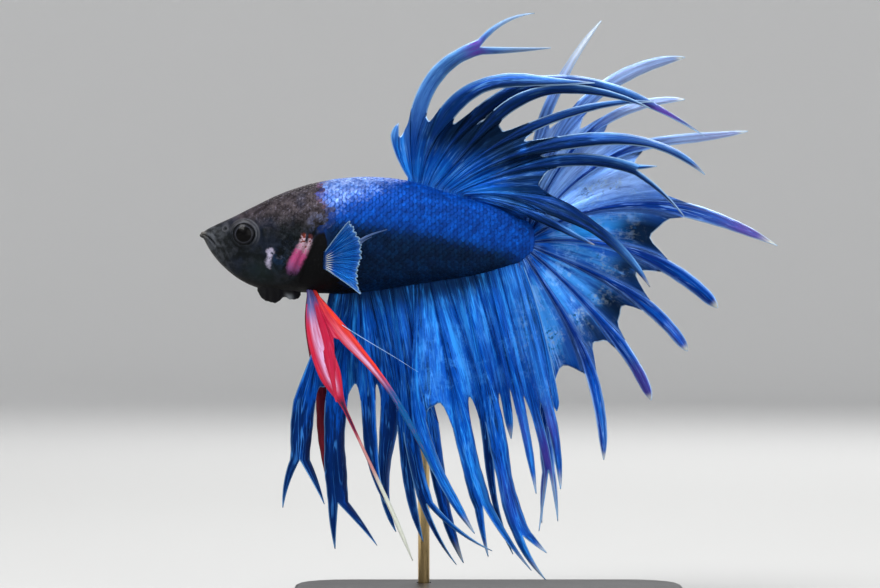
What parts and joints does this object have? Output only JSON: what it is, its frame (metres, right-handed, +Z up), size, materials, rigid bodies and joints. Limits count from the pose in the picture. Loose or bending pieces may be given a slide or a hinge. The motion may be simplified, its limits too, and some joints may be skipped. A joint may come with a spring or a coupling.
{
  "type": "betta fish display model",
  "caption": "Life-size still model of a male crowntail betta with spiky spread fins, facing left, held above a flat base by a slanted rod.",
  "frame": {"origin": "middle of the underside of the stand's base", "axes": "-X towards the fish's head, -Y to the fish's left, +Z up"},
  "size_m": [0.0876, 0.036, 0.0917],
  "materials": {
    "skin": "satin scaled skin",
    "head_skin": "satin scaled skin",
    "gill_membrane": "moist",
    "eye": "wet and glossy",
    "fin": "satin membrane over soft rays",
    "pelvic_fin": "satin membrane over soft rays",
    "stand_base": "satin black",
    "stand_rod": "brushed"
  },
  "bodies": {
    "root": {"head": "head_skin", "lower_jaw": "head_skin", "gill_cover_left": "head_skin", "gill_cover_right": "head_skin", "gill_membrane": "gill_membrane", "eye_left": "eye", "eye_right": "eye", "trunk": "skin", "tail_stalk": "skin", "dorsal_fin": "fin", "caudal_fin": "fin", "anal_fin": "fin", "pectoral_fin_left": "fin", "pectoral_fin_right": "fin", "pelvic_fin_left": "pelvic_fin", "pelvic_fin_right": "pelvic_fin", "stand_base": "stand_base", "stand_rod": "stand_rod"}
  },
  "joints": []
}
